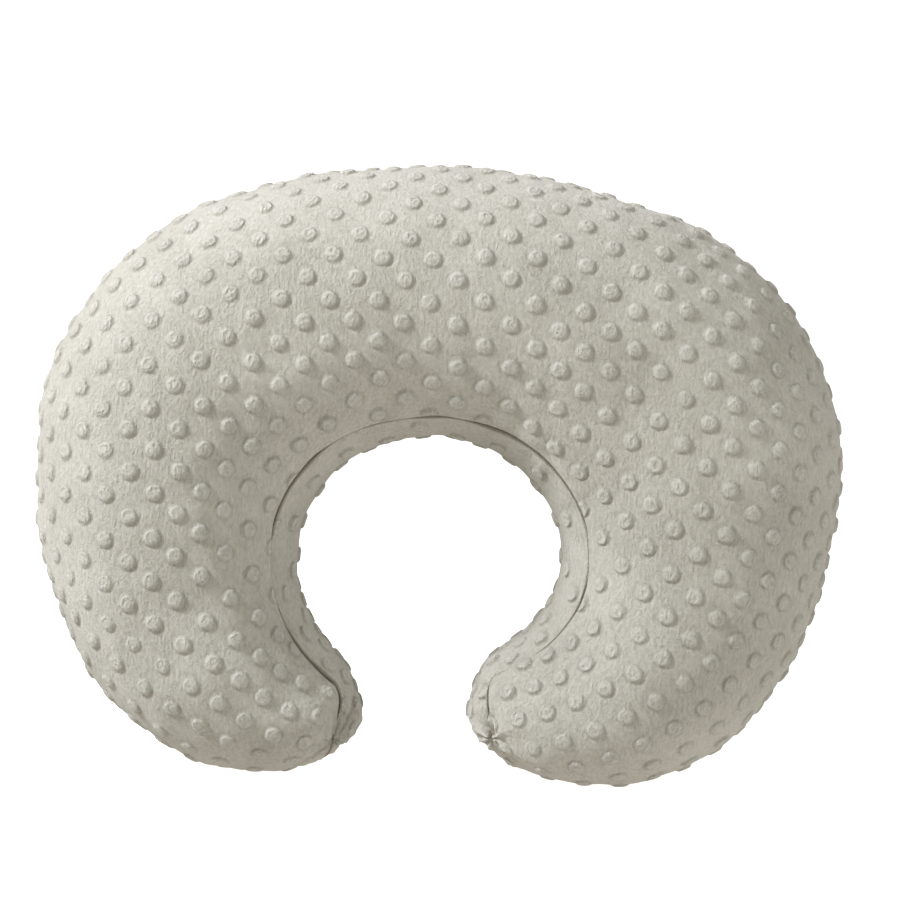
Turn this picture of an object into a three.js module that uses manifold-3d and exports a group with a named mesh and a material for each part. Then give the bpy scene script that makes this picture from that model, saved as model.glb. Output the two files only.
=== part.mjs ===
// Nursing pillow: a stuffed C-shaped pillow standing on the ends of its two legs.
// Millimetres. +X right, +Z up, the front faces -Y. The origin is on the floor under the middle.
import * as THREE from 'three';
import Module from 'manifold-3d';
import { mergeVertices } from 'three/addons/utils/BufferGeometryUtils.js';

const wasm = await Module();
wasm.setup();

const degree = Math.PI / 180;

// Outline of the stuffed pillow, seen from the front.
const pillowWidth = 551;
const pillowHeight = 416;
const crownRadius = 440;
const crownTurn = 21 * degree;
const heelInset = 165;
const heelRise = 17;
const sideFullness = 2.15;
const footPress = 6;
const floorPacking = 1.3;
const crownBand = 186;
const holeRadius = 94;
const holeCentreX = -3;
const leftLeg = { tipReach: 41, swell: 11, swellAngle: 132 * degree };
const rightLeg = { tipReach: 32, swell: 26, swellAngle: 142 * degree };
const swellSpread = 42 * degree;
const tipHeight = 30;
const tipCapLength = 38;

// Thickness from front to back.
const crownThickness = 160;
const legThickness = 166;
const tipThickness = 104;
const legStartAngle = 40 * degree;
const legFullAngle = 85 * degree;
const tipStartAngle = 115 * degree;

// Cover: two plush panels sewn together on one seam that runs right round.
const coverThickness = 2.5;
const innerSeamTurn = 147 * degree;
const outerSeamTurn = -25 * degree;
const threadRadius = 0.7;
const threadClearance = 0.4;
const tipOpening = 4;

// Zipper in the outer seam, over the crown.
const zipperTurn = 19.5 * degree;
const zipperOpening = 12.6;
const openingTaper = 14;
const tapeWidth = 13;
const tapeThickness = 0.6;
const tapeClearance = 0.8;
const tapeTail = 6;
const slotWidth = 2.2;
const coilWidth = 2.2;
const coilHeight = 2.2;
const coilClearance = 0.3;
const stopLength = 3;
const stopClearance = 0.35;
const topstitchInset = 3.2;
const topstitchRadius = 0.35;

// Slider and pull tab.
const sliderLength = 11;
const sliderClearance = 0.75;
const sliderPlate = 1.6;
const sliderFlange = 1;
const sliderWeb = 1;
const lowerPlate = 1;
const bailWidth = 2;
const bailWall = 1;
const bailOpening = 3.2;
const tabThickness = 1.2;
const tabLength = 23;
const tabWidth = 5.6;
const tabSlotLength = 4;
const tabSlotWidth = 3;
const pivotClearance = 0.35;

// Inner pillow: a woven casing full of fibre.
const casingDepth = 6.8;
const casingThickness = 1;
const casingInnerSeamTurn = 176 * degree;
const casingOuterSeamTurn = -4 * degree;
const casingThreadRadius = 0.45;
const closingStart = 60 * degree;
const closingEnd = 88 * degree;
const closingGap = 1.5 * degree;
const fillClearance = 1.6;
const labelLength = 38;
const labelWidth = 22;
const labelThickness = 0.5;
const labelAngle = 62 * degree;
const labelInset = 6;
const labelClearance = 1.8;

// Mesh fineness.
const panelStations = 46;
const crownStations = 16;
const crownSpread = 36 * degree;
const panelSlices = 9;
const edgeStrip = 9;
const casingStations = 32;
const casingSlices = 8;
const capSteps = 5;

const palette = {
  plush: new THREE.MeshStandardMaterial({ color: 0xbab4a4, roughness: 0.95, metalness: 0 }),
  casing: new THREE.MeshStandardMaterial({ color: 0xf0eee8, roughness: 0.9, metalness: 0 }),
  fibre: new THREE.MeshStandardMaterial({ color: 0xfafaf7, roughness: 1, metalness: 0 }),
  thread: new THREE.MeshStandardMaterial({ color: 0xa9a292, roughness: 0.8, metalness: 0 }),
  tape: new THREE.MeshStandardMaterial({ color: 0xb3ad9d, roughness: 0.85, metalness: 0 }),
  coil: new THREE.MeshStandardMaterial({ color: 0xb8b2a3, roughness: 0.45, metalness: 0 }),
  metal: new THREE.MeshStandardMaterial({ color: 0xb9b9bb, roughness: 0.3, metalness: 1 }),
  label: new THREE.MeshStandardMaterial({ color: 0xf4f3ef, roughness: 0.6, metalness: 0 }),
};

// ---------------------------------------------------------------- the stuffed form
// Half of the outline, from the crown to the middle of the mouth: the crown's circle, the
// shoulder's circle that the width leaves, a side that falls as a rounded quarter ellipse
// to footPress under the floor, and a heel that rises by heelRise from there to the mouth.
const holeCentreZ = pillowHeight - crownBand - holeRadius;
const shoulderRadius = (pillowWidth / 2 - crownRadius * Math.sin(crownTurn)) / (1 - Math.sin(crownTurn));
const crownCentreZ = pillowHeight - crownRadius;
const shoulderCentreX = pillowWidth / 2 - shoulderRadius;
const widestZ = crownCentreZ + (crownRadius - shoulderRadius) * Math.cos(crownTurn);
const heelX = pillowWidth / 2 - heelInset;
const mouthHalf = (leftLeg.tipReach + rightLeg.tipReach) / 2;

function outlinePoints() {
  const steps = 240;
  const shares = Array.from({ length: steps }, (_, i) => i / steps);
  const crown = shares.map((share) => {
    const heading = share * crownTurn;
    return [crownRadius * Math.sin(heading), crownCentreZ + crownRadius * Math.cos(heading)];
  });
  const shoulder = shares.map((share) => {
    const heading = crownTurn + share * (Math.PI / 2 - crownTurn);
    return [shoulderCentreX + shoulderRadius * Math.sin(heading), widestZ + shoulderRadius * Math.cos(heading)];
  });
  const side = shares.map((share) => {
    const turn = (share * Math.PI) / 2;
    const x = heelX + heelInset * Math.cos(turn) ** (2 / sideFullness);
    return [x, widestZ - (widestZ + footPress) * Math.sin(turn) ** (2 / sideFullness)];
  });
  const heel = shares.map((share) => {
    const x = heelX * (1 - 1.5 * share);
    return [x, heelRise * ((x - heelX) / (heelX - mouthHalf)) ** 2 - footPress];
  });
  return [...crown, ...shoulder, ...side, ...heel];
}

// The outline seen from the hole's centre, as angles from straight up and distances.
function outlineTable(side) {
  return outlinePoints().map(([x, z]) => {
    const across = x - side * holeCentreX;
    const up = z - holeCentreZ;
    return { angle: Math.atan2(across, up), reach: Math.hypot(across, up) };
  });
}

const outlineTables = { left: outlineTable(-1), right: outlineTable(1) };

function ease(from, to, value) {
  return THREE.MathUtils.smoothstep(value, from, to);
}

// Distance from the hole's centre to the outline, at an angle from straight up.
function outlineReach(angle) {
  const table = angle < 0 ? outlineTables.left : outlineTables.right;
  const turn = Math.abs(angle);
  const next = Math.max(1, table.findIndex((entry) => entry.angle > turn));
  const low = table[next - 1];
  const high = table[next];
  return low.reach + ((high.reach - low.reach) * (turn - low.angle)) / (high.angle - low.angle);
}

// Distance from the hole's centre to the inner edge: a circle that each leg swells into.
function holeReach(angle) {
  const leg = angle < 0 ? leftLeg : rightLeg;
  const offset = (Math.abs(angle) - leg.swellAngle) / swellSpread;
  return holeRadius - leg.swell * Math.exp(-offset * offset);
}

function halfThickness(angle) {
  const turn = Math.abs(angle);
  const leg = crownThickness + (legThickness - crownThickness) * ease(legStartAngle, legFullAngle, turn);
  const tip = (tipThickness - legThickness) * ease(tipStartAngle, Math.PI, turn);
  return (leg + tip) / 2;
}

// Where each leg's tip is, and where the rounding of the tip starts.
for (const [side, leg] of [[-1, leftLeg], [1, rightLeg]]) {
  leg.tipAngle = Math.PI - Math.atan2(leg.tipReach, holeCentreZ - tipHeight);
  leg.tipRadius = (outlineReach(side * leg.tipAngle) + holeReach(side * leg.tipAngle)) / 2;
  leg.capStart = leg.tipAngle - tipCapLength / leg.tipRadius;
}

// A station is a place along the pillow: an angle from straight up, and how far round the
// rounded tip it is (tipTurn, 0 on the body and a quarter turn at the very tip).
function sectionAt(station, depth) {
  const side = Math.sign(station.angle) || 1;
  const leg = side < 0 ? leftLeg : rightLeg;
  let angle = station.angle;
  if (station.tipTurn > 0) {
    angle = side * (leg.capStart + ((tipCapLength - depth) / leg.tipRadius) * Math.sin(station.tipTurn));
  }
  const outer = outlineReach(angle);
  const inner = holeReach(angle);
  const shrink = Math.cos(station.tipTurn);
  return {
    angle,
    middle: (outer + inner) / 2,
    halfWidth: ((outer - inner) / 2 - depth) * shrink,
    halfThick: (halfThickness(angle) - depth) * shrink,
  };
}

// The point of the form at a station, at a turn round its section (0 at the outer edge,
// a quarter turn at the front, a half turn at the hole), at a depth under the surface.
// The floor flattens it: each layer stops at its depth times floorPacking above the floor.
function formPoint(station, turn, depth) {
  const section = sectionAt(station, depth);
  const reach = section.middle + section.halfWidth * Math.cos(turn);
  return new THREE.Vector3(
    holeCentreX + reach * Math.sin(section.angle),
    -section.halfThick * Math.sin(turn),
    Math.max(holeCentreZ + reach * Math.cos(section.angle), Math.max(depth, 0) * floorPacking),
  );
}

const smallTurn = 0.002;

// Change of the point per unit of turn round the section.
function turnSpeed(station, turn, depth) {
  const ahead = formPoint(station, turn + smallTurn, depth);
  return ahead.sub(formPoint(station, turn - smallTurn, depth)).divideScalar(2 * smallTurn);
}

// Direction along the pillow, towards the right leg's tip.
function alongForm(station, turn, depth) {
  const { angle, tipTurn } = station;
  const moved = (step) => (tipTurn > 0 ? { angle, tipTurn: tipTurn + step } : { angle: angle + step, tipTurn });
  const along = formPoint(moved(smallTurn), turn, depth).sub(formPoint(moved(-smallTurn), turn, depth));
  return along.normalize().multiplyScalar(tipTurn > 0 && angle < 0 ? -1 : 1);
}

// Turn round the section that moves a point by a distance square to the length.
function turnFor(station, turn, distance) {
  return distance / turnSpeed(station, turn, 0).cross(alongForm(station, turn, 0)).length();
}

// Frame on the surface: out of it, and across its length (the way the turn grows).
function formFrame(station, turn, depth) {
  const along = alongForm(station, turn, depth);
  const out = along.clone().cross(turnSpeed(station, turn, depth)).normalize();
  return { origin: formPoint(station, turn, depth), out, across: out.clone().cross(along) };
}

// Stations from one angle to another, evenly spread.
function stationsBetween(from, to, count) {
  return Array.from({ length: count + 1 }, (_, i) => ({
    angle: from + ((to - from) * i) / count,
    tipTurn: 0,
  }));
}

// Stations over the whole pillow, closer together over the crown, where the zipper is, and
// ending at an opening of a given radius at each tip.
function wholeStations(bodyCount, opening) {
  const tipRadius = tipThickness / 2;
  const lastTurn = Math.acos(opening / tipRadius);
  const cap = (side, leg) => Array.from({ length: capSteps }, (_, i) => ({
    angle: side * leg.capStart,
    tipTurn: (lastTurn * (i + 1)) / capSteps,
  }));
  const legCount = Math.round((bodyCount - crownStations) / 2);
  const body = [
    ...stationsBetween(-leftLeg.capStart, -crownSpread, legCount).slice(0, -1),
    ...stationsBetween(-crownSpread, crownSpread, crownStations),
    ...stationsBetween(crownSpread, rightLeg.capStart, legCount).slice(1),
  ];
  return [...cap(-1, leftLeg).reverse(), ...body, ...cap(1, rightLeg)];
}

// ---------------------------------------------------------------- solids
function closedGeometry(points, triangles) {
  const geometry = new THREE.BufferGeometry();
  geometry.setAttribute('position', new THREE.Float32BufferAttribute(points.flatMap((p) => p.toArray()), 3));
  geometry.setIndex(triangles);
  return geometry;
}

// Solid from rings of points, each ring closed on itself, with a fan over each end.
function ringSolid(rings) {
  const size = rings[0].length;
  const points = rings.flat();
  const triangles = [];
  for (let i = 0; i + 1 < rings.length; i += 1) {
    for (let j = 0; j < size; j += 1) {
      const next = (j + 1) % size;
      const a = i * size + j;
      const b = i * size + next;
      const c = a + size;
      const d = b + size;
      triangles.push(a, b, c, b, d, c);
    }
  }
  const cap = (ring, offset, flip) => {
    const middle = ring.reduce((sum, p) => sum.add(p), new THREE.Vector3()).divideScalar(size);
    const index = points.push(middle) - 1;
    for (let j = 0; j < size; j += 1) {
      const next = (j + 1) % size;
      triangles.push(...(flip ? [index, offset + next, offset + j] : [index, offset + j, offset + next]));
    }
  };
  cap(rings[0], 0, true);
  cap(rings[rings.length - 1], (rings.length - 1) * size, false);
  return outwards(closedGeometry(points, triangles));
}

// Turns a closed geometry right side out.
function outwards(geometry) {
  const position = geometry.getAttribute('position');
  const index = geometry.getIndex().array;
  const corner = (k) => new THREE.Vector3().fromBufferAttribute(position, index[k]);
  let volume = 0;
  for (let k = 0; k < index.length; k += 3) {
    volume += corner(k).dot(corner(k + 1).cross(corner(k + 2)));
  }
  if (volume < 0) {
    for (let k = 0; k < index.length; k += 3) {
      [index[k + 1], index[k + 2]] = [index[k + 2], index[k + 1]];
    }
  }
  return geometry;
}

// Even slices from 0 to 1.
function evenSlices(count) {
  return Array.from({ length: count + 1 }, (_, j) => j / count);
}

// Sheet of cloth between two turns that may change from station to station.
function sheetSolid(stations, turnsAt, slices, depth, thickness) {
  const rings = stations.map((station) => {
    const [from, to] = turnsAt(station);
    const turns = slices.map((share) => from + (to - from) * share);
    const outer = turns.map((turn) => formPoint(station, turn, depth));
    const inner = turns.map((turn) => formPoint(station, turn, depth + thickness));
    return [...outer, ...inner.reverse()];
  });
  return ringSheet(rings, slices.length - 1);
}

// Closes a sheet's rings: walls between stations, and a strip over each end.
function ringSheet(rings, slices) {
  const size = rings[0].length;
  const triangles = [];
  for (let i = 0; i + 1 < rings.length; i += 1) {
    for (let j = 0; j < size; j += 1) {
      const next = (j + 1) % size;
      const a = i * size + j;
      const b = i * size + next;
      triangles.push(a, b, a + size, b, b + size, a + size);
    }
  }
  for (const [offset, flip] of [[0, true], [(rings.length - 1) * size, false]]) {
    for (let j = 0; j < slices; j += 1) {
      const a = offset + j;
      const b = offset + j + 1;
      const c = offset + size - 1 - j;
      const d = offset + size - 2 - j;
      triangles.push(...(flip ? [a, c, b, b, c, d] : [a, b, c, b, d, c]));
    }
  }
  return outwards(closedGeometry(rings.flat(), triangles));
}

// Round thread laid along the form at a turn and a depth.
function threadSolid(stations, turnAt, depth, radius, sides = 5) {
  return ringSolid(stations.map((station) => {
    const { origin, out, across } = formFrame(station, turnAt(station), depth);
    return Array.from({ length: sides }, (_, k) => {
      const angle = (2 * Math.PI * k) / sides;
      return origin.clone()
        .addScaledVector(out, radius * Math.sin(angle))
        .addScaledVector(across, radius * Math.cos(angle));
    });
  }));
}

function toManifold(geometry) {
  const bare = geometry.clone();
  bare.deleteAttribute('normal');
  bare.deleteAttribute('uv');
  const merged = mergeVertices(bare, 1e-4);
  return new wasm.Manifold(new wasm.Mesh({
    numProp: 3,
    vertProperties: new Float32Array(merged.getAttribute('position').array),
    triVerts: new Uint32Array(merged.getIndex().array),
  }));
}

function joined(...geometries) {
  const mesh = geometries.map(toManifold).reduce((sum, solid) => sum.add(solid)).getMesh();
  const geometry = new THREE.BufferGeometry();
  geometry.setAttribute('position', new THREE.BufferAttribute(new Float32Array(mesh.vertProperties), 3));
  geometry.setIndex(Array.from(mesh.triVerts));
  return geometry;
}

const pillow = new THREE.Group();

function addPiece(name, geometry, material, parent = pillow) {
  const mesh = new THREE.Mesh(geometry, material);
  mesh.name = name;
  parent.add(mesh);
  return mesh;
}

// ---------------------------------------------------------------- zipper's circle
// The crown is a circle, so the zipper is one too: it turns about crownCentre.
const seamReach = outlineReach(crownTurn) - holeReach(crownTurn);
const zipperInset = (seamReach / 2) * (1 - Math.cos(outerSeamTurn));
const zipperRadius = crownRadius - zipperInset;
const zipperY = -(crownThickness / 2) * Math.sin(outerSeamTurn);
const zipperTilt = Math.atan2(
  -Math.sin(outerSeamTurn) / (crownThickness / 2),
  Math.cos(outerSeamTurn) / (seamReach / 2),
);

// Angle about the hole's centre of a place on the zipper, from its heading about crownCentre.
function zipperAngle(heading) {
  const x = zipperRadius * Math.sin(heading) - holeCentreX;
  const z = crownCentreZ + zipperRadius * Math.cos(heading) - holeCentreZ;
  return Math.atan2(x, z);
}

const coilEnd = zipperTurn;
const stopGapTurn = stopClearance / zipperRadius;
const stopTurn = stopLength / zipperRadius;
const tapeEnd = coilEnd + stopGapTurn + stopTurn + tapeTail / zipperRadius;
const taperTurn = openingTaper / zipperRadius;

// Half the gap between the two cover panels at the outer seam.
const seamHalfGap = threadRadius + threadClearance;

function outerHalfGap(station) {
  const x = Math.abs(station.angle);
  const closed = ease(Math.abs(zipperAngle(tapeEnd)), Math.abs(zipperAngle(tapeEnd + taperTurn)), x);
  return zipperOpening / 2 + (seamHalfGap - zipperOpening / 2) * closed;
}

// ---------------------------------------------------------------- cover
function addCover() {
  const stations = wholeStations(panelStations, tipOpening);
  const innerGap = (station) => turnFor(station, innerSeamTurn, seamHalfGap);
  const outerGap = (station) => turnFor(station, outerSeamTurn, outerHalfGap(station));
  const outerReach = seamReach / 2;
  const front = (station) => [outerSeamTurn + outerGap(station), innerSeamTurn - innerGap(station)];
  const back = (station) => [
    innerSeamTurn + innerGap(station),
    outerSeamTurn + 2 * Math.PI - outerGap(station),
  ];
  // Two narrow slices beside the outer seam keep the panel round over the zipper tape.
  const strip = edgeStrip / (outerReach * (innerSeamTurn - outerSeamTurn));
  const rest = evenSlices(panelSlices).slice(1).map((share) => 2 * strip + (1 - 2 * strip) * share);
  const frontSlices = [0, strip, 2 * strip, ...rest];
  const backSlices = frontSlices.map((share) => 1 - share).reverse();
  addPiece('cover_front_panel', sheetSolid(stations, front, frontSlices, 0, coverThickness), palette.plush);
  addPiece('cover_back_panel', sheetSolid(stations, back, backSlices, 0, coverThickness), palette.plush);
}

// Thread that closes the cover's seam: right along the hole, and along the outline from
// each end of the zipper to the tip.
function addCoverThreads() {
  const depth = coverThickness / 2;
  const innerTurn = () => innerSeamTurn;
  const outerTurn = () => outerSeamTurn;
  const whole = wholeStations(panelStations, tipOpening);
  addPiece('inner_seam_thread', threadSolid(whole, innerTurn, depth, threadRadius), palette.thread);
  const start = Math.abs(zipperAngle(tapeEnd + taperTurn));
  const right = whole.filter((station) => station.angle > start);
  const left = whole.filter((station) => station.angle < -start);
  addPiece('outer_seam_thread_left', threadSolid(left, outerTurn, depth, threadRadius), palette.thread);
  addPiece('outer_seam_thread_right', threadSolid(right, outerTurn, depth, threadRadius), palette.thread);
}

// ---------------------------------------------------------------- zipper
// One side of the zipper: its tape, its coil and the stitching that holds the tape.
function addZipperSide(name, direction) {
  const tapeDepth = coverThickness + tapeClearance;
  const tapeStations = stationsBetween(zipperAngle(-tapeEnd), zipperAngle(tapeEnd), 24);
  const coilStations = stationsBetween(zipperAngle(-coilEnd), zipperAngle(coilEnd), 24);
  const between = (near, far) => (station) => {
    const edges = [near, far].map((distance) => outerSeamTurn + direction * turnFor(station, outerSeamTurn, distance));
    return edges.sort((a, b) => a - b);
  };
  const tape = sheetSolid(tapeStations, between(slotWidth / 2, tapeWidth), evenSlices(2), tapeDepth, tapeThickness);
  const coilDepth = tapeDepth - coilClearance - coilHeight;
  const coilTurns = between(slotWidth / 2, slotWidth / 2 + coilWidth);
  const coil = sheetSolid(coilStations, coilTurns, evenSlices(1), coilDepth, coilHeight);
  const stitchLine = zipperOpening / 2 + topstitchInset;
  const stitchTurn = (station) => outerSeamTurn + direction * turnFor(station, outerSeamTurn, stitchLine);
  const stitchDepth = -topstitchRadius - threadClearance;
  const stitching = threadSolid(coilStations, stitchTurn, stitchDepth, topstitchRadius);
  addPiece(`zipper_tape_${name}`, tape, palette.tape);
  addPiece(`zipper_coil_${name}`, coil, palette.coil);
  addPiece(`zipper_stitching_${name}`, stitching, palette.thread);
}

// Group on the zipper's circle: +Z stands out of the cover, +X runs along the zipper to
// the right, and +Y points across it to the back panel.
function zipperGroup(heading, parent = pillow) {
  const circle = new THREE.Group();
  circle.position.set(0, 0, crownCentreZ);
  circle.rotation.y = heading;
  const tilt = new THREE.Group();
  tilt.position.set(0, zipperY, zipperRadius);
  tilt.rotation.x = -zipperTilt;
  circle.add(tilt);
  parent.add(circle);
  return tilt;
}

function boxBetween(low, high) {
  const box = new THREE.BoxGeometry(high[0] - low[0], high[1] - low[1], high[2] - low[2]);
  return box.translate((low[0] + high[0]) / 2, (low[1] + high[1]) / 2, (low[2] + high[2]) / 2);
}

const coilTop = coilHeight + coilClearance - coverThickness - tapeClearance;
const coilOuterEdge = slotWidth / 2 + coilWidth;
const stopHeight = coilHeight;

// Two top stops, one on each side, and one bottom stop across both.
function addStops() {
  const place = coilEnd + stopGapTurn + stopTurn / 2;
  const half = stopLength / 2;
  const bottom = coilTop - stopHeight;
  const closedEnd = zipperGroup(place);
  const openEnd = zipperGroup(-place);
  const low = [-half, slotWidth / 2, bottom];
  const high = [half, coilOuterEdge, coilTop];
  addPiece('zipper_top_stop_back', boxBetween(low, high), palette.metal, closedEnd);
  addPiece(
    'zipper_top_stop_front',
    boxBetween([-half, -coilOuterEdge, bottom], [half, -slotWidth / 2, coilTop]),
    palette.metal,
    closedEnd,
  );
  addPiece(
    'zipper_bottom_stop',
    boxBetween([-half, -coilOuterEdge, bottom], [half, coilOuterEdge, coilTop]),
    palette.metal,
    openEnd,
  );
}

const plateUnderside = coilTop + sliderClearance;
const plateTop = plateUnderside + sliderPlate;
const flangeInside = coilOuterEdge + sliderClearance;
const sliderHalfWidth = flangeInside + sliderFlange;
const tapeUnderside = -(coverThickness + tapeClearance + tapeThickness);
const pivotHeight = plateTop + pivotClearance + tabThickness / 2;

// Slider: a plate over the coils with a flange down each side, a web in the slot between
// the coils, and a lower plate under the tapes. The bail on top holds the pull tab.
function addSlider(group) {
  const flangeBottom = -(coverThickness + tapeClearance) + sliderClearance;
  const lowerTop = tapeUnderside - sliderClearance;
  const half = sliderLength / 2;
  const plate = boxBetween([-half, -sliderHalfWidth, plateUnderside], [half, sliderHalfWidth, plateTop]);
  const flangeTop = plateUnderside + sliderPlate / 2;
  const flanges = [-1, 1].map((side) => {
    const edges = [side * flangeInside, side * sliderHalfWidth].sort((a, b) => a - b);
    return boxBetween([-half, edges[0], flangeBottom], [half, edges[1], flangeTop]);
  });
  const web = boxBetween(
    [-half, -sliderWeb / 2, lowerTop - lowerPlate / 2],
    [half, sliderWeb / 2, flangeTop],
  );
  const lower = boxBetween([-half, -sliderHalfWidth, lowerTop - lowerPlate], [half, sliderHalfWidth, lowerTop]);
  addPiece('zipper_slider', joined(plate, ...flanges, web, lower, bailGeometry()), palette.metal, group);
}

// Bail: an arch along the slider, cut from one outline.
function bailGeometry() {
  const foot = bailOpening / 2;
  const roof = pivotHeight + tabThickness / 2 + pivotClearance;
  const arch = new THREE.Shape();
  arch.moveTo(-foot - bailWall, plateTop - sliderPlate / 2);
  arch.lineTo(-foot, plateTop - sliderPlate / 2);
  arch.lineTo(-foot, roof);
  arch.lineTo(foot, roof);
  arch.lineTo(foot, plateTop - sliderPlate / 2);
  arch.lineTo(foot + bailWall, plateTop - sliderPlate / 2);
  arch.lineTo(foot + bailWall, roof + bailWall / 2);
  arch.lineTo(foot, roof + bailWall);
  arch.lineTo(-foot, roof + bailWall);
  arch.lineTo(-foot - bailWall, roof + bailWall / 2);
  const bail = new THREE.ExtrudeGeometry(arch, { depth: bailWidth, bevelEnabled: false });
  return bail.rotateX(Math.PI / 2).translate(0, bailWidth / 2, 0);
}

// Pull tab: a plate with rounded ends and a slot. The bar at the slot's end lies in the bail.
function addPullTab(group) {
  const bar = tabThickness / 2;
  const round = tabWidth / 2;
  const plate = new THREE.Shape();
  plate.moveTo(-bar, -round);
  plate.lineTo(tabLength - round, -round);
  plate.absarc(tabLength - round, 0, round, -Math.PI / 2, Math.PI / 2, false);
  plate.lineTo(-bar, round);
  const slot = new THREE.Path();
  slot.moveTo(bar, -tabSlotWidth / 2);
  slot.lineTo(bar, tabSlotWidth / 2);
  slot.lineTo(bar + tabSlotLength, tabSlotWidth / 2);
  slot.lineTo(bar + tabSlotLength, -tabSlotWidth / 2);
  plate.holes.push(slot);
  const tab = new THREE.ExtrudeGeometry(plate, { depth: tabThickness, bevelEnabled: false, curveSegments: 10 });
  tab.translate(0, 0, pivotHeight - tabThickness / 2);
  addPiece('zipper_pull_tab', tab, palette.metal, group);
}

function addZipper() {
  addZipperSide('front', 1);
  addZipperSide('back', -1);
  addStops();
  const sliderHeading = coilEnd - sliderLength / 2 / zipperRadius;
  const group = zipperGroup(sliderHeading);
  addSlider(group);
  addPullTab(group);
}

// ---------------------------------------------------------------- inner pillow
const casingRound = wholeStations(casingStations, tipOpening + casingDepth);

// Edges of the casing's two panels at a station, each as the turns it runs between.
function casingTurns(station) {
  const gap = casingThreadRadius + threadClearance;
  const innerGap = turnFor(station, casingInnerSeamTurn, gap);
  const outerGap = turnFor(station, casingOuterSeamTurn, gap);
  return {
    front: [casingOuterSeamTurn + outerGap, casingInnerSeamTurn - innerGap],
    back: [casingInnerSeamTurn + innerGap, casingOuterSeamTurn + 2 * Math.PI - outerGap],
  };
}

function addCasing() {
  for (const side of ['front', 'back']) {
    const turns = (station) => casingTurns(station)[side];
    const panel = sheetSolid(casingRound, turns, evenSlices(casingSlices), casingDepth, casingThickness);
    addPiece(`casing_${side}_panel`, panel, palette.casing);
  }
  const depth = casingDepth + casingThickness / 2;
  const thread = (list, turn) => threadSolid(list, () => turn, depth, casingThreadRadius, 4);
  const outer = (from, to) => casingRound.filter((station) => station.angle >= from && station.angle <= to);
  addPiece('casing_inner_seam_thread', thread(casingRound, casingInnerSeamTurn), palette.thread);
  const beforeClosing = thread(outer(-Math.PI, closingStart - closingGap), casingOuterSeamTurn);
  addPiece('casing_outer_seam_thread_left', beforeClosing, palette.thread);
  const pastClosing = thread(outer(closingEnd + closingGap, Math.PI), casingOuterSeamTurn);
  addPiece('casing_outer_seam_thread_right', pastClosing, palette.thread);
  const closing = stationsBetween(closingStart, closingEnd, 8);
  addPiece('casing_closing_stitches', thread(closing, casingOuterSeamTurn), palette.thread);
}

// The fill has the facets of the casing's inner face, which runs backwards round the section.
function addFill() {
  const depth = casingDepth + casingThickness + fillClearance;
  const rings = casingRound.map((station) => Object.values(casingTurns(station)).flatMap(([from, to]) => (
    evenSlices(casingSlices).map((share) => formPoint(station, from + (to - from) * share, depth))
  )).reverse());
  addPiece('fibre_fill', ringSolid(rings), palette.fibre);
}

// Blank label, sewn into the outer seam and lying inside the back panel.
function addLabel() {
  const reach = outlineReach(labelAngle);
  const half = labelLength / 2 / reach;
  const stations = stationsBetween(labelAngle - half, labelAngle + half, 4);
  const depth = coverThickness + labelClearance;
  const turns = (station) => [
    outerSeamTurn - turnFor(station, outerSeamTurn, labelInset + labelWidth),
    outerSeamTurn - turnFor(station, outerSeamTurn, labelInset),
  ];
  addPiece('care_label', sheetSolid(stations, turns, evenSlices(3), depth, labelThickness), palette.label);
}

addCover();
addCoverThreads();
addZipper();
addCasing();
addFill();
addLabel();

export default pillow;
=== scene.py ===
import bmesh
import bpy
import math
import numpy as np
from mathutils import Matrix, Vector


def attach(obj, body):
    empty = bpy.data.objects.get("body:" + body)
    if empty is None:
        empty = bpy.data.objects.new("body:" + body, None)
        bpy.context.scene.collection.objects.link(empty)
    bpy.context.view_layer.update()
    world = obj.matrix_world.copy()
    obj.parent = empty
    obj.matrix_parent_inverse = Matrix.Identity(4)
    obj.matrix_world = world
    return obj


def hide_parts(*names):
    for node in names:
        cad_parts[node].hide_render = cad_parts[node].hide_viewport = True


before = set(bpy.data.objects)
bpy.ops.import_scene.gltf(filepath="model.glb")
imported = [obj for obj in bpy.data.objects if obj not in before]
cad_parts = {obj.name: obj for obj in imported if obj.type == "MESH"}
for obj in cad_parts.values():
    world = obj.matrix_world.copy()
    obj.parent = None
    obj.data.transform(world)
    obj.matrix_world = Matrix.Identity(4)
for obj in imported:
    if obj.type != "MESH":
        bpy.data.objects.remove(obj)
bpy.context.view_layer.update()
degree = math.pi / 180

# The stuffed form that every layer lies on, as the CAD model draws it (metres, degrees).
form = {
    "width": 0.551,
    "height": 0.416,
    "crownRadius": 0.440,
    "crownTurn": 21,
    "heelInset": 0.165,
    "heelRise": 0.017,
    "sideFullness": 2.15,
    "footPress": 0.006,
    "floorPacking": 1.3,
    "crownBand": 0.186,
    "holeRadius": 0.094,
    "holeCentreX": -0.003,
    "swellSpread": 42,
    "tipHeight": 0.030,
    "capLength": 0.038,
    "crownThickness": 0.160,
    "legThickness": 0.166,
    "tipThickness": 0.104,
    "legStart": 40,
    "legFull": 85,
    "tipStart": 115,
    "innerSeam": 147,
    "outerSeam": -25,
    "floorSoftness": 0.003,
}
legs = {
    "left": {"tipReach": 0.041, "swell": 0.011, "swellAngle": 132, "tipForward": 1.15, "tipDown": 0.1},
    "right": {"tipReach": 0.032, "swell": 0.026, "swellAngle": 142, "tipForward": 1.1, "tipDown": 0.2},
}


def ease(low, high, value):
    share = np.clip((value - low) / (high - low), 0, 1)
    return share * share * (3 - 2 * share)


def unit(vectors):
    return vectors / np.maximum(np.linalg.norm(vectors, axis=-1, keepdims=True), 1e-12)


def travelled(points):
    # length along each polyline, along the first axis
    steps = np.linalg.norm(np.diff(points, axis=0), axis=-1)
    return np.concatenate([np.zeros_like(steps[:1]), np.cumsum(steps, axis=0)])


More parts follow.
